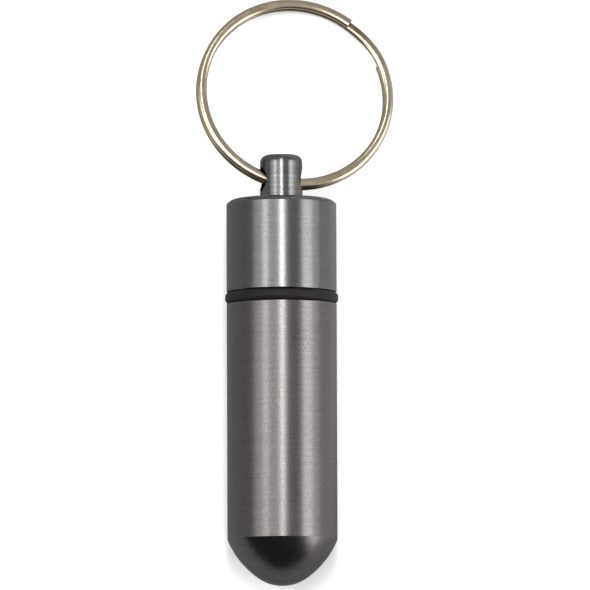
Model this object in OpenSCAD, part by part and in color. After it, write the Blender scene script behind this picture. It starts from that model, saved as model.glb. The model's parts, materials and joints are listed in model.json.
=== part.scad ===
// Pill fob: a turned aluminium pill capsule with a screw cap, a rubber seal and a two-turn split ring.
// It lies on a table: the capsule's axis runs along Y with the nose at -Y and the ring at +Y, and +Z is up.
// The origin is on the table, under the middle of the bounding box. All sizes are in millimetres.

/* [Capsule] */
// Diameter of the tube and of the cap
body_d = 14; // [12:0.5:18]
// Length of the tube's straight wall, from the nose to the shoulder that carries the seal
tube_len = 30.1; // [20:0.1:45]
// Length of the domed nose
nose_len = 5.85; // [5:0.05:6.5]
// Radius of the dome at its tip
nose_tip_r = 5.4; // [4.6:0.1:6]
// Radius of the dome's flanks, between the tip and the straight wall
nose_side_r = 11.3; // [10.5:0.1:14]
// Bevel on the capsule's turned rims
rim_bevel = 0.15; // [0.05:0.05:0.3]

/* [Pill chamber] */
// Bore that holds the pills
chamber_d = 9.6; // [7:0.1:9.8]
// Depth of metal between the chamber's flat floor and the tip of the nose
nose_wall = 4.6; // [3.8:0.1:6]
// Taper left round the chamber's floor by the boring tool
floor_taper = 0.8; // [0.4:0.1:1.2]

/* [Screw neck] */
// Diameter of the neck at the root of its thread
neck_d = 10.9; // [10.7:0.1:11.1]
// Rise of one turn of the thread
thread_pitch = 1.25; // [1:0.05:1.4]
// Number of thread turns on the stretch of neck that reaches into the closed cap
thread_turns = 4.8; // [4:0.1:5]
// Bevel at the mouth of the neck
neck_bevel = 0.3; // [0.1:0.05:0.5]

/* [Seal] */
// Gap between the shoulder and the closed cap, which the squeezed seal fills
seal_gap = 1.5; // [1:0.1:2]
// How far the seal bulges past the tube's wall
seal_bulge = 0.2; // [0.1:0.05:0.4]
// Rounding of the seal's outer corners
seal_round = 0.6; // [0.3:0.05:0.7]
// Running clearance between the seal and the neck, on the radius
seal_clear = 0.03; // [0.02:0.01:0.08]

/* [Cap] */
// Height of the cap without its knob
cap_len = 11.9; // [9.5:0.1:16]
// Depth of the cap's screw bore
cap_bore_len = 8.5; // [7.5:0.1:9]
// Diameter of the cap's bore at the root of its thread
cap_bore_d = 12.1; // [11.8:0.1:12.3]
// Radius of the cap's rounded top edge
cap_round = 1.8; // [1:0.1:2.4]
// Height of that rounding, which meets the wall in a crisp line
cap_edge = 0.65; // [0.4:0.05:1]

/* [Knob and eye] */
// Diameter of the knob turned on the cap's top
knob_d = 5.4; // [4.8:0.1:7]
// Height of the knob
knob_len = 5.65; // [5:0.05:7]
// Rounding of the knob's top edge
knob_round = 1.0; // [0.4:0.1:1.4]
// Fillet where the knob leaves the cap's top
knob_fillet = 0.4; // [0.2:0.1:0.8]
// Diameter of the cross hole that holds the ring
eye_d = 3.1; // [2.9:0.05:3.2]
// Height of the hole's axis above the cap's top
eye_height = 2.5; // [2.3:0.1:2.8]
// Turn of the hole's axis about the capsule's axis, from level
eye_turn = 13; // [5:1:20]

/* [Split ring] */
// Outside diameter of the ring
ring_d = 25.4; // [22:0.2:32]
// Width of the flattened wire, across the ring's radius
wire_w = 1.25; // [1.1:0.05:1.4]
// Thickness of the wire, through the ring
wire_t = 0.85; // [0.7:0.05:0.9]
// Squareness of the wire's oval section, where 2 is an ellipse
wire_oval = 2.2; // [2:0.1:3]
// Hairline gap between the two turns
turn_gap = 0.05; // [0.02:0.01:0.1]
// Arc over which the wire steps from one turn to the other
step_arc = 31.5; // [20:0.5:60]
// Angle round the ring at which the upper turn's free end lies, from the ring's right-hand side
free_end = 63; // [40:1:160]
// Sideways swing of the ring's centre about the eye, as it lies on the table
ring_swing = 11; // [0:0.5:12]
// Roll of the ring about the capsule's axis, as it lies on the table
ring_roll = 10; // [5:0.5:16]
// How far the wire sits outward of the eye's centre, so that its curve clears both mouths
ring_seat = 0.4; // [0.1:0.05:0.45]

/* [Hidden] */
$fn = 96;

body_r = body_d / 2;
neck_r = neck_d / 2;
seal_r = body_r + seal_bulge;
axis_z = seal_r;
// Stations along the capsule's axis, counted from the tip of the nose
shoulder_at = nose_len + tube_len;
rim_at = shoulder_at + seal_gap;
mouth_at = rim_at + thread_turns * thread_pitch;
top_at = rim_at + cap_len;
eye_at = top_at + eye_height;
chamber_len = mouth_at - nose_wall;
// The dome's flank arc passes through the edge of the straight wall and touches the tip arc
edge_to_tip = norm([body_r, nose_len - nose_tip_r]);
flank_angle = acos((pow(nose_side_r, 2) + pow(edge_to_tip, 2) - pow(nose_side_r - nose_tip_r, 2))
    / (2 * nose_side_r * edge_to_tip));
edge_angle = atan2(nose_len - nose_tip_r, body_r) - flank_angle;
flank_centre = [body_r, nose_len] - nose_side_r * [cos(edge_angle), sin(edge_angle)];
touch_angle = atan2(nose_tip_r - flank_centre[1], -flank_centre[0]);
arc_steps = 10;

// The ring: its wire's centre line and how it hangs from the eye to the table
wire_r = (ring_d - wire_w) / 2;
turn_arc = 360 - step_arc;
wind_arc = 2 * turn_arc + step_arc;
hang = wire_r - ring_seat;
ring_steps = 136;
wire_sides = 12;
table_clear = 0.01;
ring_tilt = settle(0, 60, 40);
ring_offset = turned([hang * sin(ring_swing), hang * cos(ring_swing), 0]);
ring_normal = turned([0, 0, 1]);
ring_reach = [for (i = [0:2]) reach(ring_normal[i])];
// The bounding box's middle, which the origin is under
mid_x = ring_offset[0];
mid_y = (eye_at + ring_offset[1] + ring_reach[1]) / 2;

// Half extent of the flat ring along a direction in which its normal has the share n
function reach(n) =
    let (c = sqrt(1 - n * n))
    let (q = wire_oval / (wire_oval - 1))
    wire_r * c + (wire_t + turn_gap) / 2 * abs(n)
    + pow(pow(wire_w / 2 * c, q) + pow(wire_t / 2 * abs(n), q), 1 / q);

// Turns a vector as the ring is turned: tilted down by the settled angle, then rolled
function turned(v, tilt = undef) =
    let (t = is_undef(tilt) ? ring_tilt : tilt)
    let (a = [v[0], v[1] * cos(t) + v[2] * sin(t), v[2] * cos(t) - v[1] * sin(t)])
    [a[0] * cos(ring_roll) + a[2] * sin(ring_roll), a[1], a[2] * cos(ring_roll) - a[0] * sin(ring_roll)];

// Height of the ring's lowest point over the capsule's axis when the ring is tilted by t
function lowest(t) =
    turned([hang * sin(ring_swing), hang * cos(ring_swing), 0], t)[2] - reach(turned([0, 0, 1], t)[2]);

// Tilt at which the ring's far side comes down to the table, found by halving the interval
function settle(lo, hi, n) =
    let (mid = (lo + hi) / 2)
    n == 0 ? mid : lowest(mid) > table_clear - axis_z ? settle(mid, hi, n - 1) : settle(lo, mid, n - 1);

// Points of an arc about a centre from angle a to angle b
function arc(centre, r, a, b, steps = arc_steps) =
    [for (i = [0:steps]) let (t = a + (b - a) * i / steps) centre + r * [cos(t), sin(t)]];

// Outline of the wire's oval section as [across the radius, through the ring]
function wire_section() = [
    for (j = [0:wire_sides - 1])
        let (q = 360 * j / wire_sides)
        [wire_w / 2 * oval(cos(q)), wire_t / 2 * oval(sin(q))]
];

// Share of the half width at which the oval lies, from the circle's share c
function oval(c) = sign(c) * pow(abs(c), 2 / wire_oval);

// Height of the wire's centre in the stack, a degrees along the winding from the upper turn's free end
function wind_height(a) =
    let (s = min(max((a - turn_arc) / step_arc, 0), 1))
    (wire_t + turn_gap) * (0.5 - s * s * (3 - 2 * s));

// Places its children with their +Z along the capsule's axis, at a station counted from the nose
module on_axis(station) {
    translate([-mid_x, station - mid_y, axis_z])
        rotate([-90, 0, 0])
            children();
}

// Capsule body: domed nose, straight wall, shoulder and the plain core of the screw neck, bored for pills
module tube() {
    color("#5d5f66")
        on_axis(0)
            difference() {
                rotate_extrude()
                    polygon(concat(
                        arc([0, nose_tip_r], nose_tip_r, -90, touch_angle),
                        arc(flank_centre, nose_side_r, touch_angle, edge_angle),
                        [
                            [body_r, shoulder_at - rim_bevel],
                            [body_r - rim_bevel, shoulder_at],
                            [neck_r, shoulder_at],
                            [neck_r, mouth_at - neck_bevel],
                            [neck_r - neck_bevel, mouth_at],
                            [0, mouth_at],
                        ]
                    ));
                translate([0, 0, nose_wall + floor_taper])
                    cylinder(h = chamber_len, d = chamber_d);
                translate([0, 0, nose_wall])
                    cylinder(h = floor_taper, d1 = chamber_d - 2 * floor_taper, d2 = chamber_d);
            }
}

// Squeezed rubber ring at the foot of the neck, flat where it meets the shoulder and the cap
module seal() {
    inner_r = neck_r + seal_clear;
    round_r = min(seal_round, seal_gap / 2);
    corner_r = seal_r - round_r;
    color("#17171a")
        on_axis(shoulder_at)
            rotate_extrude()
                polygon(concat(
                    [[inner_r, 0]],
                    arc([corner_r, round_r], round_r, -90, 0),
                    arc([corner_r, seal_gap - round_r], round_r, 0, 90),
                    [[inner_r, seal_gap]]
                ));
}

// Screw cap, turned in one piece with the knob that the ring's eye is drilled through
module cap() {
    knob_r = knob_d / 2;
    knob_top = cap_len + knob_len;
    edge_start = asin(1 - cap_edge / cap_round);
    round_r = body_r - cap_round * cos(edge_start);
    color("#5d5f66")
        on_axis(rim_at)
            difference() {
                rotate_extrude()
                    polygon(concat(
                        [[0, 0], [body_r - rim_bevel, 0], [body_r, rim_bevel]],
                        arc([round_r, cap_len - cap_round], cap_round, edge_start, 90),
                        arc([knob_r + knob_fillet, cap_len + knob_fillet], knob_fillet, 270, 180),
                        arc([knob_r - knob_round, knob_top - knob_round], knob_round, 0, 90),
                        [[0, knob_top]]
                    ));
                translate([0, 0, -1])
                    cylinder(h = cap_bore_len + 1, d = cap_bore_d);
                translate([0, 0, cap_len + eye_height])
                    rotate([0, 90, eye_turn])
                        cylinder(h = 2 * knob_d, d = eye_d, center = true);
            }
}

// Two-turn split ring of flattened wire, lying in the eye with its far side on the table
module split_ring() {
    section = wire_section();
    sides = len(section);
    points = [
        for (i = [0:ring_steps])
            let (a = wind_arc * i / ring_steps)
            let (place = free_end + a)
            for (p = section)
                [(wire_r + p[0]) * cos(place), (wire_r + p[0]) * sin(place), wind_height(a) + p[1]]
    ];
    faces = concat(
        [[for (j = [sides - 1:-1:0]) j]],
        [
            for (i = [0:ring_steps - 1])
                for (j = [0:sides - 1])
                    let (k = (j + 1) % sides)
                    let (here = i * sides)
                    let (next = here + sides)
                    for (face = [[here + j, here + k, next + k], [here + j, next + k, next + j]])
                        face
        ],
        [[for (j = [0:sides - 1]) ring_steps * sides + j]]
    );
    color("#c9c4b8")
        translate([-mid_x, eye_at - mid_y, axis_z])
            rotate([0, ring_roll, 0])
                rotate([-ring_tilt, 0, 0])
                    rotate([0, 0, -ring_swing])
                        translate([0, hang, 0])
                            polyhedron(points = points, faces = faces, convexity = 6);
}

tube();
seal();
cap();
split_ring();
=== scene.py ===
"""Pill fob keychain in a white studio: turned metal, threads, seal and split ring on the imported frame."""

import json
import math

import bpy
from mathutils import Matrix, Vector


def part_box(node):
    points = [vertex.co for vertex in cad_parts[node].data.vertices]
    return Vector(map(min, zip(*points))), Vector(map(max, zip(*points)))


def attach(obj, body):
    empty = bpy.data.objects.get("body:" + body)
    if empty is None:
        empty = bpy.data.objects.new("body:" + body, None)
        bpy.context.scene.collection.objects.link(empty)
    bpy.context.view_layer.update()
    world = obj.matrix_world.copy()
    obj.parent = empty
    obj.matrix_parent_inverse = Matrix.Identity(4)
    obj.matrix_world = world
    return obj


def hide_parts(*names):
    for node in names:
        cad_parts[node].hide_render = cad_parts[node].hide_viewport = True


MM = 0.001

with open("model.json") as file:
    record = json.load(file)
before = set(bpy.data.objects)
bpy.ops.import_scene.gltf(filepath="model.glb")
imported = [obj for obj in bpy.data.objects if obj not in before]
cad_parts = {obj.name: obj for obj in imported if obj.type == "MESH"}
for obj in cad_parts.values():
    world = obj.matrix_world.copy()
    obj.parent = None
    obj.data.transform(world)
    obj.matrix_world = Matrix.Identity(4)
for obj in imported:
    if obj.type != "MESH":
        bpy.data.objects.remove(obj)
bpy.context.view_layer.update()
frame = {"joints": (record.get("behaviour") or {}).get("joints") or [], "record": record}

# Sizes that the frame gives
TUBE_LOW, TUBE_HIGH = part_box("tube")
SEAL_LOW, SEAL_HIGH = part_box("seal")
CAP_LOW, CAP_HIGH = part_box("cap")
AXIS_X = (TUBE_LOW.x + TUBE_HIGH.x) / 2
AXIS_Z = (TUBE_LOW.z + TUBE_HIGH.z) / 2
BODY_R = (TUBE_HIGH.x - TUBE_LOW.x) / 2
SEAL_R = (SEAL_HIGH.x - SEAL_LOW.x) / 2
TIP_Y = TUBE_LOW.y
SHOULDER_Y = SEAL_LOW.y
RIM_Y = CAP_LOW.y
MOUTH_Y = TUBE_HIGH.y
KNOB_TOP_Y = CAP_HIGH.y

# Sizes that the frame doesn't give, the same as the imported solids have
NOSE_LEN = 5.85 * MM
NOSE_TIP_R = 5.4 * MM
NOSE_SIDE_R = 11.3 * MM
CHAMBER_R = 4.8 * MM
NOSE_WALL = 4.6 * MM
FLOOR_TAPER = 0.8 * MM
NECK_R = 5.45 * MM
NECK_BEVEL = 0.3 * MM
THREAD_PITCH = 1.25 * MM
CAP_LEN = 11.9 * MM
CAP_BORE_LEN = 8.5 * MM
CAP_BORE_R = 6.05 * MM
CAP_ROUND = 1.8 * MM
CAP_EDGE = 0.65 * MM
KNOB_R = 2.7 * MM
KNOB_ROUND = 1.0 * MM
KNOB_FILLET = 0.4 * MM
EYE_R = 1.55 * MM
SEAL_ROUND = 0.6 * MM
SEAL_CLEAR = 0.03 * MM
RING_R = 12.7 * MM
WIRE_W = 1.25 * MM
WIRE_T = 0.85 * MM
# The power of the wire's oval section: 2 is an ellipse, and more is squarer
WIRE_OVAL = 2.2
TURN_GAP = 0.05 * MM
# The arc of the step between the turns, and the place of the upper free end, in degrees
STEP_ARC = 31.5
FREE_END = 63

# Fine sizes that only the looks need
EDGE_ROUND = 0.12 * MM
MOUTH_FLARE = 0.12 * MM
WIRE_BEVEL = 0.08 * MM
THREAD_HEIGHT = 0.5 * MM
THREAD_SUNK = 0.03 * MM
# The width of a thread's root and crest, as shares of its pitch
THREAD_ROOT_SHARE = 0.72
THREAD_CREST_SHARE = 0.2
# How far past the cap's rim the neck's thread starts, and how far below the neck's bevel it ends
THREAD_LEAD = THREAD_PITCH / 2
THREAD_SHORT = THREAD_PITCH * 0.3
# A thread runs out over this many turns at each end, down to this share of its height
THREAD_FADE = 0.4
THREAD_FADE_LOW = 0.02
THREAD_SHARP = math.radians(25)

LATHE_STEPS = 256
ARC_STEPS = 12
DOME_STEPS = 24
EDGE_STEPS = 5
EYE_STEPS = 128
RING_STEPS = 520
WIRE_SIDES = 32
THREAD_STEPS = 96

# Points of an outline that are nearer than this are one
SAME_POINT = 1e-9
# A swept mesh has one corner in each cell of a grid of this many to the metre
WELD_CELLS = 1e8
# In the choice of the surface that a face lies on, facing the same way is worth this distance
FACING_WORTH = 0.1 * MM

ORIGIN = Vector((0, 0, 0))
CAPSULE_AXIS = Vector((0, 1, 0))


# Outlines are lists of pieces, and a piece is a list of ((u, v), (normal u, normal v)) along a line
# or an arc. The surface's outside is on the right of the way that the outline runs.

def line(p, q):
    du, dv = q[0] - p[0], q[1] - p[1]
    size = math.hypot(du, dv)
    normal = (dv / size, -du / size)
    return [(p, normal), (q, normal)]


def arc(centre, radius, start, end, steps=ARC_STEPS):
    """An arc between two angles in degrees. Where it runs anticlockwise, its centre is inside."""
    side = 1 if end > start else -1
    points = []
    for i in range(steps + 1):
        t = math.radians(start + (end - start) * i / steps)
        u, v = math.cos(t), math.sin(t)
        points.append(((centre[0] + radius * u, centre[1] + radius * v), (side * u, side * v)))
    return points


def path(*stops):
    """Lines and arcs joined into one outline: a stop is a point, or an arc's list of points."""
    pieces = []
    here = None
    for stop in stops:
        start = stop[0][0] if isinstance(stop, list) else stop
        if here and math.dist(here, start) > SAME_POINT:
            pieces.append(line(here, start))
        here = start
        if isinstance(stop, list):
            pieces.append(stop)
            here = stop[-1][0]
    return pieces


# Meshes

def new_object(name, data):
    obj = bpy.data.objects.new(name, data)
    bpy.context.scene.collection.objects.link(obj)
    return obj


def mesh_object(name, verts, faces, material):
    mesh = bpy.data.meshes.new(name)
    mesh.from_pydata(verts, [], faces)
    mesh.materials.append(material)
    return new_object(name, mesh)


def sweep(name, pieces, frames, material, closed=False, capped=False):
    """Sweeps an outline along frames of (origin, u axis, v axis), with the outline's own normals."""
    verts, faces, normals = [], [], []
    index = {}

    def vertex(f, p):
        on_pole = closed and abs(p[0]) < SAME_POINT
        key = (0 if on_pole else f, round(p[0] * WELD_CELLS), round(p[1] * WELD_CELLS))
        if key not in index:
            origin, u_axis, v_axis = frames[f]
            index[key] = len(verts)
            verts.append(origin + u_axis * p[0] + v_axis * p[1])
        return index[key]

    def turned(f, n):
        return frames[f][1] * n[0] + frames[f][2] * n[1]

    spans = len(frames) if closed else len(frames) - 1
    for f in range(spans):
        g = (f + 1) % len(frames)
        for piece in pieces:
            for (p, pn), (q, qn) in zip(piece, piece[1:]):
                corners = [(f, p, pn), (g, p, pn), (g, q, qn), (f, q, qn)]
                face, face_normals = [], []
                for step, point, normal in corners:
                    i = vertex(step, point)
                    if i not in face:
                        face.append(i)
                        face_normals.append(turned(step, normal))
                if len(face) > 2:
                    faces.append(face)
                    normals += face_normals
    if capped:
        loop = [p for piece in pieces for p, _ in piece[:-1]]
        for f, ring in ((0, loop), (len(frames) - 1, loop[::-1])):
            flat = frames[f][1].cross(frames[f][2]).normalized() * (-1 if f else 1)
            faces.append([vertex(f, p) for p in ring])
            normals += [flat] * len(ring)
    obj = mesh_object(name, verts, faces, material)
    obj.data.shade_smooth()
    obj.data.normals_split_custom_set(normals)
    return obj


def frames_about(axis, first, second, steps):
    """Frames all round an axis, from the first direction across it towards the second."""
    frames = []
    for i in range(steps):
        t = 2 * math.pi * i / steps
        frames.append((ORIGIN, first * math.cos(t) + second * math.sin(t), axis))
    return frames


def lathe(name, pieces, material):
    """Turns an outline of (radius, station along Y) about the capsule's axis."""
    frames = frames_about(CAPSULE_AXIS, Vector((1, 0, 0)), Vector((0, 0, -1)), LATHE_STEPS)
    obj = sweep(name, pieces, frames, material, closed=True)
    obj.location = (AXIS_X, 0, AXIS_Z)
    return obj


def exact_normals(mesh, surfaces):
    """Gives each face the normals of the turned surface it lies on: (origin, axis, side, pieces)."""
    spans = []
    for origin, axis, side, pieces in surfaces:
        for piece in pieces:
            for (p, pn), (q, qn) in zip(piece, piece[1:]):
                spans.append((origin, axis, side, p, q, pn, qn))

    def place(point, origin, axis):
        arm = point - origin
        v = arm.dot(axis)
        radial = arm - axis * v
        return radial.length, v, radial.normalized()

    def along(u, v, p, q):
        du, dv = q[0] - p[0], q[1] - p[1]
        share = ((u - p[0]) * du + (v - p[1]) * dv) / (du * du + dv * dv)
        return min(max(share, 0), 1)

    def normal(point, span):
        """How far off a point is from a span of an outline, and the surface's normal there."""
        origin, axis, side, p, q, pn, qn = span
        u, v, radial = place(point, origin, axis)
        share = along(u, v, p, q)
        off = math.hypot(p[0] + (q[0] - p[0]) * share - u, p[1] + (q[1] - p[1]) * share - v)
        nu, nv = [a + (b - a) * share for a, b in zip(pn, qn)]
        return off, (radial * nu + axis * nv).normalized() * side

    normals = []
    for face in mesh.polygons:
        def misfit(span):
            off, direction = normal(face.center, span)
            return off - FACING_WORTH * direction.dot(face.normal)
        span = min(spans, key=misfit)
        normals += [normal(mesh.vertices[i].co, span)[1] for i in face.vertices]
    mesh.shade_smooth()
    mesh.normals_split_custom_set(normals)


# Materials

# The scales of the noises for X, Y and Z, in waves to the metre
BLAST_GRAIN = (5600, 6400, 5600)
TOOL_MARKS = (120, 5000, 120)
METAL_CLOUDS = (260, 160, 260)
LIGHT_LINES = (40, 2400, 40)
RUB_PATCHES = (700, 700, 700)
RUBBER_BLOOM = (500, 500, 500)
RUBBER_GRAIN = (6000, 6000, 6000)
RING_TARNISH = (260, 260, 900)
DRAWN_LINES = (2200, 2200, 9000)

TOOL_MARK_DEPTH = 0.0012 * MM
RUBBER_GRAIN_DEPTH = 0.008 * MM
DRAWN_DEPTH = 0.0012 * MM

LINE_COLOUR = (0.22, 0.22, 0.215)
RUBBED_COLOUR = (0.42, 0.41, 0.40)
# Dark brown between the ring's turns: painted shade in the groove, partly tarnish
TARNISH_AND_SHADE_COLOUR = (0.12, 0.085, 0.05)

# The grain's share in the metal's mottle, whose rest is tool marks
GRAIN_SHARE = 0.75
# The band along a rim in which the anodising is rubbed off in patches
RUB_WIDTH = 0.14 * MM
# The middle of the rubbed band on the knob's round edge, below the knob's top
KNOB_RUB_DROP = KNOB_ROUND / 3
# The ring is darkened brown, painted shade in the groove between the turns and partly tarnish, up to the
# first distance from its middle plane, and bare from the second
BROWN_END = 0.06 * MM
BARE_START = 0.42 * MM
TARNISH_AND_SHADE_SHARE = 0.7

# The Mix node has sockets of one name for each type: these are its factor and its colours
MIX_FACTOR = 0
MIX_UNDER = 6
MIX_OVER = 7
MIX_COLOUR = 2

# The roughness of paint and card
MATT = 0.9


def new_material(name):
    material = bpy.data.materials.new(name)
    material.use_nodes = True
    tree = material.node_tree
    return material, tree, tree.nodes["Principled BSDF"]


def node(tree, kind, **values):
    made = tree.nodes.new(kind)
    for key, value in values.items():
        setattr(made, key, value)
    return made


def vector_node(tree, operation, vector):
    """The object's coordinates put through a vector operation with a fixed vector."""
    coords = node(tree, "ShaderNodeTexCoord")
    made = node(tree, "ShaderNodeVectorMath", operation=operation)
    made.inputs[1].default_value = vector
    tree.links.new(coords.outputs["Object"], made.inputs[0])
    return made


def coordinates(tree):
    """The object's coordinates as the outputs X, Y and Z."""
    coords = node(tree, "ShaderNodeTexCoord")
    split = node(tree, "ShaderNodeSeparateXYZ")
    tree.links.new(coords.outputs["Object"], split.inputs[0])
    return split.outputs


def noise(tree, scale, detail, roughness=0.5):
    """Noise with a scale of its own for each axis."""
    made = node(tree, "ShaderNodeTexNoise")
    made.inputs["Scale"].default_value = 1.0
    made.inputs["Detail"].default_value = detail
    made.inputs["Roughness"].default_value = roughness
    tree.links.new(vector_node(tree, "MULTIPLY", scale).outputs["Vector"], made.inputs["Vector"])
    return made.outputs["Fac"]


def ramp(tree, factor, stops):
    """A colour between two stops of (place, colour)."""
    made = node(tree, "ShaderNodeValToRGB")
    for element, (place, colour) in zip(made.color_ramp.elements, stops):
        element.position = place
        element.color = (*colour, 1)
    tree.links.new(factor, made.inputs["Fac"])
    return made.outputs["Color"]


def remap(tree, factor, low, high, start=0.3, end=0.7):
    """Low where the factor is start, high where it is end, and clamped past both."""
    made = node(tree, "ShaderNodeMapRange")
    made.inputs["From Min"].default_value = start
    made.inputs["From Max"].default_value = end
    made.inputs["To Min"].default_value = low
    made.inputs["To Max"].default_value = high
    tree.links.new(factor, made.inputs["Value"])
    return made.outputs["Result"]


def math_node(tree, operation, *values):
    """A value is a float or the output of another node."""
    made = node(tree, "ShaderNodeMath", operation=operation)
    for socket, value in zip(made.inputs, values):
        if isinstance(value, float):
            socket.default_value = value
        else:
            tree.links.new(value, socket)
    return made.outputs[0]


def mix(tree, factor, under, over):
    """A linked colour with a fixed one over it."""
    made = node(tree, "ShaderNodeMix", data_type="RGBA")
    tree.links.new(factor, made.inputs[MIX_FACTOR])
    tree.links.new(under, made.inputs[MIX_UNDER])
    made.inputs[MIX_OVER].default_value = (*over, 1)
    return made.outputs[MIX_COLOUR]


def bump(tree, height, distance, under=None):
    made = node(tree, "ShaderNodeBump")
    made.inputs["Strength"].default_value = 1.0
    made.inputs["Distance"].default_value = distance
    tree.links.new(height, made.inputs["Height"])
    if under:
        tree.links.new(under, made.inputs["Normal"])
    return made.outputs["Normal"]


def rubbed(tree, rims):
    """A mask of small patches where the anodising has rubbed off, along rims at the given stations."""
    specks = noise(tree, RUB_PATCHES, detail=5, roughness=0.75)
    patches = remap(tree, specks, low=0, high=1, start=0.52, end=0.66)
    mask = None
    for rim in rims:
        off = math_node(tree, "ABSOLUTE", math_node(tree, "SUBTRACT", coordinates(tree)["Y"], rim))
        near = remap(tree, off, low=1, high=0, start=0, end=RUB_WIDTH)
        mask = math_node(tree, "MAXIMUM", mask, near) if mask else near
    return math_node(tree, "MULTIPLY", mask, patches)


def turned_lines(tree, start):
    """A mask of the light lines that the turning tool has left past a station."""
    streaks = noise(tree, LIGHT_LINES, detail=3, roughness=0.6)
    lines = remap(tree, streaks, low=0, high=0.45, start=0.5, end=0.72)
    past = math_node(tree, "GREATER_THAN", coordinates(tree)["Y"], start)
    return math_node(tree, "MULTIPLY", lines, past)


def anodised(name, dark, light, roughness, grain_depth, rims, lines_from):
    """Gunmetal anodising on turned and finely blasted aluminium, with rims rubbed bright here and there."""
    material, tree, shader = new_material(name)
    grain = noise(tree, BLAST_GRAIN, detail=1)
    tool_marks = noise(tree, TOOL_MARKS, detail=2)
    clouds = noise(tree, METAL_CLOUDS, detail=3)
    grain_part = math_node(tree, "MULTIPLY", grain, GRAIN_SHARE)
    mottle = math_node(tree, "MULTIPLY_ADD", tool_marks, 1 - GRAIN_SHARE, grain_part)
    colour = ramp(tree, mottle, [(0.38, dark), (0.62, light)])
    lined = mix(tree, turned_lines(tree, lines_from), colour, LINE_COLOUR)
    tree.links.new(mix(tree, rubbed(tree, rims), lined, RUBBED_COLOUR), shader.inputs["Base Color"])
    tree.links.new(remap(tree, clouds, *roughness), shader.inputs["Roughness"])
    turned = bump(tree, tool_marks, TOOL_MARK_DEPTH)
    tree.links.new(bump(tree, grain, grain_depth, under=turned), shader.inputs["Normal"])
    shader.inputs["Metallic"].default_value = 1.0
    shader.inputs["Anisotropic"].default_value = 0.15
    shader.inputs["Anisotropic Rotation"].default_value = 0.25
    tangent = node(tree, "ShaderNodeTangent", direction_type="RADIAL", axis="Y")
    tree.links.new(tangent.outputs[0], shader.inputs["Tangent"])
    return material


def rubber():
    """Black rubber with a faint brown bloom and a moulded grain."""
    material, tree, shader = new_material("seal_rubber")
    bloom = noise(tree, RUBBER_BLOOM, detail=5, roughness=0.7)
    grain = noise(tree, RUBBER_GRAIN, detail=2)
    colours = [(0.3, (0.006, 0.0054, 0.0052)), (0.75, (0.017, 0.0148, 0.0132))]
    tree.links.new(ramp(tree, bloom, colours), shader.inputs["Base Color"])
    tree.links.new(remap(tree, bloom, low=0.42, high=0.56), shader.inputs["Roughness"])
    tree.links.new(bump(tree, grain, RUBBER_GRAIN_DEPTH), shader.inputs["Normal"])
    shader.inputs["Specular IOR Level"].default_value = 0.12
    return material


def nickel(ring_normal):
    """Nickel-plated spring wire, drawn along its length, with tarnish, and browned between the turns by
    painted shade and partly by tarnish.
    """
    material, tree, shader = new_material("ring_steel")
    tarnish = noise(tree, RING_TARNISH, detail=4, roughness=0.6)
    drawn = noise(tree, DRAWN_LINES, detail=2)
    plating = ramp(tree, tarnish, [(0.3, (0.36, 0.298, 0.218)), (0.7, (0.46, 0.39, 0.297))])
    height = vector_node(tree, "DOT_PRODUCT", ring_normal).outputs["Value"]
    off_middle = math_node(tree, "ABSOLUTE", height)
    # Painted shade: the wire darkens to brown near the middle plane between the turns, partly as tarnish
    between = remap(tree, off_middle, low=TARNISH_AND_SHADE_SHARE, high=0, start=BROWN_END, end=BARE_START)
    tree.links.new(mix(tree, between, plating, TARNISH_AND_SHADE_COLOUR), shader.inputs["Base Color"])
    tree.links.new(remap(tree, tarnish, low=0.18, high=0.25), shader.inputs["Roughness"])
    tree.links.new(bump(tree, drawn, DRAWN_DEPTH), shader.inputs["Normal"])
    shader.inputs["Metallic"].default_value = 1.0
    return material


def plain(name, colour):
    """One matt colour, for the studio."""
    material, _, shader = new_material(name)
    shader.inputs["Base Color"].default_value = (*colour, 1)
    shader.inputs["Roughness"].default_value = MATT
    return material


TUBE_METAL = anodised(
    "tube_metal",
    dark=(0.096, 0.090, 0.088),
    light=(0.134, 0.126, 0.123),
    roughness=(0.26, 0.29),
    grain_depth=0.0022 * MM,
    rims=(SHOULDER_Y,),
    lines_from=MOUTH_Y - NECK_BEVEL,
)
CAP_METAL = anodised(
    "cap_metal",
    dark=(0.099, 0.099, 0.097),
    light=(0.129, 0.129, 0.126),
    roughness=(0.23, 0.26),
    grain_depth=0.0027 * MM,
    rims=(RIM_Y, KNOB_TOP_Y - KNOB_RUB_DROP),
    lines_from=RIM_Y + CAP_LEN,
)
RUBBER = rubber()


# Pieces

def dome_pieces():
    """The nose: a tip arc that runs into a flank arc, which ends at the edge of the straight wall."""
    tip_centre = (0, TIP_Y + NOSE_TIP_R)
    edge = (BODY_R, TIP_Y + NOSE_LEN)
    reach = math.dist(edge, tip_centre)
    at_edge = math.acos(
        (NOSE_SIDE_R**2 + reach**2 - (NOSE_SIDE_R - NOSE_TIP_R) ** 2) / (2 * NOSE_SIDE_R * reach)
    )
    edge_angle = math.atan2(edge[1] - tip_centre[1], edge[0]) - at_edge
    centre = (
        edge[0] - NOSE_SIDE_R * math.cos(edge_angle),
        edge[1] - NOSE_SIDE_R * math.sin(edge_angle),
    )
    touch = math.degrees(math.atan2(tip_centre[1] - centre[1], -centre[0]))
    return [
        arc(tip_centre, NOSE_TIP_R, -90, touch, DOME_STEPS),
        arc(centre, NOSE_SIDE_R, touch, math.degrees(edge_angle), DOME_STEPS),
    ]


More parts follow.
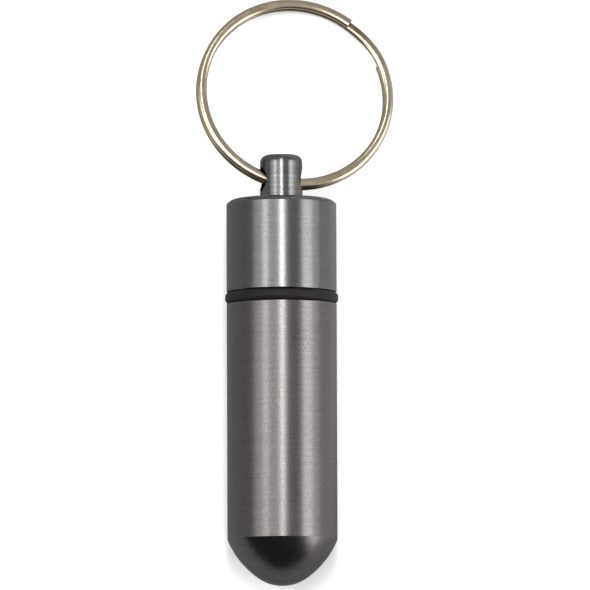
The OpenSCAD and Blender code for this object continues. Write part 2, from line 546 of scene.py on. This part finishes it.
def make_tube():
    floor_y = TIP_Y + NOSE_WALL
    wall_top = SHOULDER_Y - EDGE_ROUND
    outline = path(
        *dome_pieces(),
        arc((BODY_R - EDGE_ROUND, wall_top), EDGE_ROUND, 0, 90, EDGE_STEPS),
        (NECK_R, SHOULDER_Y),
        (NECK_R, MOUTH_Y - NECK_BEVEL),
        (NECK_R - NECK_BEVEL, MOUTH_Y),
        (CHAMBER_R + EDGE_ROUND, MOUTH_Y),
        arc((CHAMBER_R + EDGE_ROUND, MOUTH_Y - EDGE_ROUND), EDGE_ROUND, 90, 180, EDGE_STEPS),
        (CHAMBER_R, floor_y + FLOOR_TAPER),
        (CHAMBER_R - FLOOR_TAPER, floor_y),
        (0, floor_y),
    )
    tube = lathe("tube_body", outline, TUBE_METAL)
    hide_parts("tube")
    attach(tube, "tube")


def make_seal():
    corner = SEAL_R - SEAL_ROUND
    inner = NECK_R + SEAL_CLEAR
    outline = path(
        (inner, SHOULDER_Y),
        arc((corner, SHOULDER_Y + SEAL_ROUND), SEAL_ROUND, -90, 0),
        arc((corner, RIM_Y - SEAL_ROUND), SEAL_ROUND, 0, 90),
        (inner, RIM_Y),
        (inner, SHOULDER_Y),
    )
    seal = lathe("seal_ring", outline, RUBBER)
    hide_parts("seal")
    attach(seal, "seal")


def swing_joint():
    return next(j for j in frame["joints"] if j["name"] == "ring_swing")


def eye_cutter():
    """The drill and its deburring flare, as a solid about the eye's axis."""
    joint = swing_joint()
    along = Vector(joint["axis"]).normalized()
    up = along.orthogonal().normalized()
    side = along.cross(up)
    flare_start = KNOB_R - MOUTH_FLARE
    far = KNOB_R + MOUTH_FLARE
    wide = EYE_R + (far - flare_start)
    outline = path(
        (0, -far), (wide, -far), (EYE_R, -flare_start), (EYE_R, flare_start), (wide, far), (0, far)
    )
    frames = frames_about(along, up, side, EYE_STEPS)
    cutter = sweep("eye_cutter", outline, frames, CAP_METAL, closed=True)
    cutter.location = Vector(joint["pos_m"])
    return cutter, along, outline


def make_cap():
    top_y = RIM_Y + CAP_LEN
    ceiling_y = RIM_Y + CAP_BORE_LEN
    edge_start = math.asin(1 - CAP_EDGE / CAP_ROUND)
    round_r = BODY_R - CAP_ROUND * math.cos(edge_start)
    outline = path(
        (CAP_BORE_R, RIM_Y),
        arc((BODY_R - EDGE_ROUND, RIM_Y + EDGE_ROUND), EDGE_ROUND, -90, 0, EDGE_STEPS),
        arc((round_r, top_y - CAP_ROUND), CAP_ROUND, math.degrees(edge_start), 90),
        arc((KNOB_R + KNOB_FILLET, top_y + KNOB_FILLET), KNOB_FILLET, 270, 180),
        arc((KNOB_R - KNOB_ROUND, KNOB_TOP_Y - KNOB_ROUND), KNOB_ROUND, 0, 90),
        (0, KNOB_TOP_Y),
    )
    bore = path((0, ceiling_y), (CAP_BORE_R, ceiling_y), (CAP_BORE_R, RIM_Y))
    cap = lathe("cap_body", outline + bore, CAP_METAL)
    cutter, along, drilling = eye_cutter()
    drill = cap.modifiers.new("eye", "BOOLEAN")
    drill.object = cutter
    drill.operation = "DIFFERENCE"
    drill.solver = "EXACT"
    bpy.context.view_layer.update()
    drilled = bpy.data.meshes.new_from_object(cap.evaluated_get(bpy.context.evaluated_depsgraph_get()))
    cap.modifiers.clear()
    cap.data = drilled
    to_eye = cutter.location - cap.location
    turned = (ORIGIN, CAPSULE_AXIS, 1, outline + bore)
    exact_normals(drilled, [turned, (to_eye, along, -1, drilling)])
    bpy.data.objects.remove(cutter)
    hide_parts("cap")
    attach(cap, "cap")


def make_thread(name, root_r, height, start_y, end_y, material):
    """A right-hand ridge on a neck, or in a bore where the height is negative, run out at both ends."""
    turns = (end_y - start_y) / THREAD_PITCH
    steps = round(turns * THREAD_STEPS)
    side = 1 if height > 0 else -1
    foot = THREAD_PITCH * THREAD_ROOT_SHARE / 2
    crest = THREAD_PITCH * THREAD_CREST_SHARE / 2
    low = root_r - side * THREAD_SUNK
    corners = 4
    verts, faces = [], []
    for i in range(steps + 1):
        turn = turns * i / steps
        grown = max(min(1, turn / THREAD_FADE, (turns - turn) / THREAD_FADE), THREAD_FADE_LOW)
        t = 2 * math.pi * turn
        radial = Vector((math.cos(t), 0, -math.sin(t)))
        centre_y = start_y + THREAD_PITCH * turn
        high = root_r + height * grown
        for r, v in ((low, -foot), (high, -crest), (high, crest), (low, foot)):
            verts.append(radial * r + Vector((0, centre_y + v, 0)))
    for i in range(steps):
        here, after = corners * i, corners * (i + 1)
        for j in range(corners):
            k = (j + 1) % corners
            faces.append([here + j, here + k, after + k, after + j][::-side])
    faces.append([*range(corners)][::side])
    faces.append([corners * steps + j for j in range(corners)][::-side])
    thread = mesh_object(name, verts, faces, material)
    thread.data.shade_smooth()
    thread.data.set_sharp_from_angle(angle=THREAD_SHARP)
    thread.location = (AXIS_X, 0, AXIS_Z)
    return thread


def make_threads():
    """The two threads, half a pitch apart so that each lies in the other's groove."""
    start_y = RIM_Y + THREAD_LEAD
    neck_end_y = MOUTH_Y - NECK_BEVEL - THREAD_SHORT
    male = make_thread("neck_thread", NECK_R, THREAD_HEIGHT, start_y, neck_end_y, TUBE_METAL)
    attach(male, "tube")
    bore_end_y = RIM_Y + CAP_BORE_LEN - THREAD_PITCH
    female = make_thread(
        "cap_thread", CAP_BORE_R, -THREAD_HEIGHT, start_y + THREAD_PITCH / 2, bore_end_y, CAP_METAL
    )
    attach(female, "cap")


def ring_axes():
    """The ring's centre and its own right, up and normal directions, from its mount and the eye."""
    mount = next(m for m in frame["record"]["mounts"] if m["name"] == "key_loop")
    centre = Vector(mount["pos_m"])
    normal = Vector(mount["axis"]).normalized()
    from_eye = centre - Vector(swing_joint()["pos_m"])
    up = (from_eye - normal * from_eye.dot(normal)).normalized()
    return centre, up.cross(normal), up, normal


def wire_section():
    """The wire's oval outline, whose squareness lies between an ellipse and a rounded bar."""
    half_w, half_t = WIRE_W / 2, WIRE_T / 2
    power = 2 / WIRE_OVAL

    def raised(share, power):
        return math.copysign(abs(share) ** power, share)

    outline = []
    for i in range(WIRE_SIDES + 1):
        t = 2 * math.pi * i / WIRE_SIDES
        c, s = math.cos(t), math.sin(t)
        point = (half_w * raised(c, power), half_t * raised(s, power))
        normal = Vector((raised(c, 2 - power) / half_w, raised(s, 2 - power) / half_t)).normalized()
        outline.append((point, tuple(normal)))
    return [outline]


def make_ring():
    """Flattened wire wound twice, with its step from the upper to the lower turn between the free ends."""
    centre, right, up, normal = ring_axes()
    wire_r = RING_R - WIRE_W / 2
    turn_arc = 360 - STEP_ARC
    wind_arc = 2 * turn_arc + STEP_ARC
    bevel = math.degrees(WIRE_BEVEL / wire_r)
    plain_arc = wind_arc - 2 * bevel
    stations = [bevel + plain_arc * i / RING_STEPS for i in range(RING_STEPS + 1)]
    end_size = 1 - 2 * WIRE_BEVEL / WIRE_T
    frames = []
    for a in [0, *stations, wind_arc]:
        place = math.radians(FREE_END + a)
        share = min(max((a - turn_arc) / STEP_ARC, 0), 1)
        stepped = share * share * (3 - 2 * share)
        height = (WIRE_T + TURN_GAP) * (0.5 - stepped)
        outward = right * math.cos(place) + up * math.sin(place)
        size = end_size if a in (0, wind_arc) else 1
        frames.append((outward * wire_r + normal * height, outward * size, normal * size))
    ring = sweep("key_ring", wire_section(), frames, nickel(normal), capped=True)
    ring.location = centre
    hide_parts("split_ring")
    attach(ring, "split_ring")


make_tube()
make_seal()
make_cap()
make_threads()
make_ring()


# Studio

CAMERA_TILT = math.radians(5.2)
CAMERA_ROLL = math.radians(-0.2)
CAMERA_DISTANCE = 2.0
CAMERA_SENSOR = 36
CLIP_START = 0.01
CLIP_END = 10
PICTURE_PIXELS = 590
PIXELS_PER_METRE = 7857
# The width that the picture shows at its middle
VIEW_WIDTH = PICTURE_PIXELS / PIXELS_PER_METRE
# The picture's middle, to the right of the capsule's axis and from the cap's rim towards the ring
VIEW_RIGHT = 1.70 * MM
VIEW_UP = -0.35 * MM

LAMP_DISTANCE = 0.5
WORLD_LEVEL = 0.56
FLOOR_REACH = 3.0
FLOOR_COLOUR = (0.97, 0.97, 0.97)

FLAG_COLOUR = (0.02, 0.02, 0.02)
FLAG_DISTANCE = 0.4
FLAG_HEIGHT = 0.56
FLAG_START = -70
FLAG_END = 40
FLAG_STEPS = 24

MAT_REACH = 0.6
MAT_Z = 0.005 * MM
# The mat's greys on the left and right; the darker left is painted shade
MAT_LEFT = 0.38
MAT_RIGHT = 0.62
MAT_BLEND = 8 * MM
# The border between the mat's left and right turns this far to the right under the nose
MAT_TURN = math.radians(32)
# The mat's share of its grey beside the capsule, a painted shadow, and the distances from the axis where it
# starts and ends
PAINTED_SHADOW_SHARE = 0.52
PAINTED_SHADOW_START = 9 * MM
PAINTED_SHADOW_END = 17 * MM


def strip_light(name, turn, spread, radiance, low_y, high_y):
    """A long soft box between two stations, turned from straight above and as wide as degrees say."""
    length = high_y - low_y
    width = 2 * LAMP_DISTANCE * math.tan(math.radians(spread) / 2)
    data = bpy.data.lights.new(name, "AREA")
    data.shape = "RECTANGLE"
    data.size = width
    data.size_y = length
    data.energy = radiance * math.pi * width * length
    lamp = new_object(name, data)
    t = math.radians(turn)
    towards = Vector((math.sin(t), 0, math.cos(t)))
    middle = Vector((AXIS_X, (low_y + high_y) / 2, AXIS_Z))
    lamp.matrix_world = Matrix.Translation(middle + towards * LAMP_DISTANCE) @ Matrix.Rotation(t, 4, "Y")


def square(name, reach, z, material):
    """A level square about the frame's origin."""
    corners = [(-reach, -reach, z), (reach, -reach, z), (reach, reach, z), (-reach, reach, z)]
    return mesh_object(name, corners, [(0, 1, 2, 3)], material)


def make_floor():
    floor = square("floor", FLOOR_REACH, 0, plain("floor_white", FLOOR_COLOUR))


def for_reflections(card):
    """Leaves a card to be seen by reflections alone."""
    card.visible_camera = False
    card.visible_diffuse = False
    card.visible_transmission = False
    card.visible_shadow = False


def make_flag():
    """The studio's dark end: a black card that stands in a curve beyond the nose."""
    verts, faces = [], []
    for i in range(FLAG_STEPS + 1):
        t = math.radians(FLAG_START + (FLAG_END - FLAG_START) * i / FLAG_STEPS)
        for z in (0, FLAG_HEIGHT):
            verts.append((FLAG_DISTANCE * math.sin(t), -FLAG_DISTANCE * math.cos(t), z))
    for i in range(FLAG_STEPS):
        faces.append((2 * i, 2 * i + 2, 2 * i + 3, 2 * i + 1))
    for_reflections(mesh_object("flag", verts, faces, plain("flag_black", FLAG_COLOUR)))


def mat_grey_painted_shade():
    """The mat's paint: darker on the left and under the nose, and darkest beside the capsule, all painted
    shade that the metal mirrors, the last a painted shadow of the capsule.
    """
    material, tree, shader = new_material("mat_grey_painted_shade")
    split = coordinates(tree)
    x, y = split["X"], split["Y"]
    below = math_node(tree, "MAXIMUM", math_node(tree, "MULTIPLY", y, -1.0), 0.0)
    past_border = math_node(tree, "SUBTRACT", x, math_node(tree, "MULTIPLY", below, math.tan(MAT_TURN)))
    # Painted shade: the mat is darker on the left and under the nose
    side = remap(tree, past_border, low=MAT_LEFT, high=MAT_RIGHT, start=-MAT_BLEND, end=MAT_BLEND)
    across = math_node(tree, "SUBTRACT", x, AXIS_X)
    past_nose = math_node(tree, "SUBTRACT", TIP_Y, y)
    past_knob = math_node(tree, "SUBTRACT", y, KNOB_TOP_Y)
    past_ends = math_node(tree, "MAXIMUM", math_node(tree, "MAXIMUM", past_nose, past_knob), 0.0)
    across_squared = math_node(tree, "MULTIPLY", across, across)
    away_squared = math_node(tree, "MULTIPLY_ADD", past_ends, past_ends, across_squared)
    away = math_node(tree, "SQRT", away_squared)
    # Painted shadow: the mat darkens beside the capsule and past its ends, as the metal mirrors it
    near = remap(tree, away, low=PAINTED_SHADOW_SHARE, high=1, start=PAINTED_SHADOW_START, end=PAINTED_SHADOW_END)
    tree.links.new(math_node(tree, "MULTIPLY", side, near), shader.inputs["Base Color"])
    shader.inputs["Roughness"].default_value = MATT
    return material


def make_mat():
    """The grey table top that the metal mirrors, seen by reflections alone: a painted reflection of shaded
    table.
    """
    for_reflections(square("mat", MAT_REACH, MAT_Z, mat_grey_painted_shade()))


def make_world():
    world = bpy.data.worlds.new("studio")
    bpy.context.scene.world = world
    world.use_nodes = True
    background = world.node_tree.nodes["Background"]
    background.inputs["Color"].default_value = (1, 1, 1, 1)
    background.inputs["Strength"].default_value = WORLD_LEVEL


def make_camera():
    data = bpy.data.cameras.new("camera")
    data.sensor_width = CAMERA_SENSOR
    data.lens = CAMERA_SENSOR * CAMERA_DISTANCE / VIEW_WIDTH
    data.clip_start = CLIP_START
    data.clip_end = CLIP_END
    camera = new_object("camera", data)
    target = Vector((AXIS_X + VIEW_RIGHT, RIM_Y + VIEW_UP, AXIS_Z))
    back = Vector((0, -math.sin(CAMERA_TILT), math.cos(CAMERA_TILT)))
    camera.matrix_world = (
        Matrix.Translation(target + back * CAMERA_DISTANCE)
        @ Matrix.Rotation(CAMERA_ROLL, 4, back)
        @ Matrix.Rotation(CAMERA_TILT, 4, "X")
    )
    bpy.context.scene.camera = camera


make_floor()
make_flag()
make_mat()
make_world()
strip_light("strip_top", turn=1, spread=9, radiance=17, low_y=0.0, high_y=0.22)
strip_light("strip_ring", turn=1, spread=7, radiance=12, low_y=0.22, high_y=0.5)
strip_light("strip_left", turn=-34, spread=11, radiance=6.6, low_y=0.0, high_y=0.22)
strip_light("fill_left", turn=-34, spread=52, radiance=1.6, low_y=-0.1, high_y=0.22)
strip_light("strip_right", turn=55, spread=23, radiance=2.8, low_y=-0.25, high_y=0.2)
strip_light("fill_right", turn=64, spread=44, radiance=1.5, low_y=-0.3, high_y=0.2)
strip_light("strip_nose", turn=75, spread=28, radiance=3.2, low_y=-0.45, high_y=-0.2)
make_camera()
bpy.context.scene.view_settings.view_transform = "Standard"
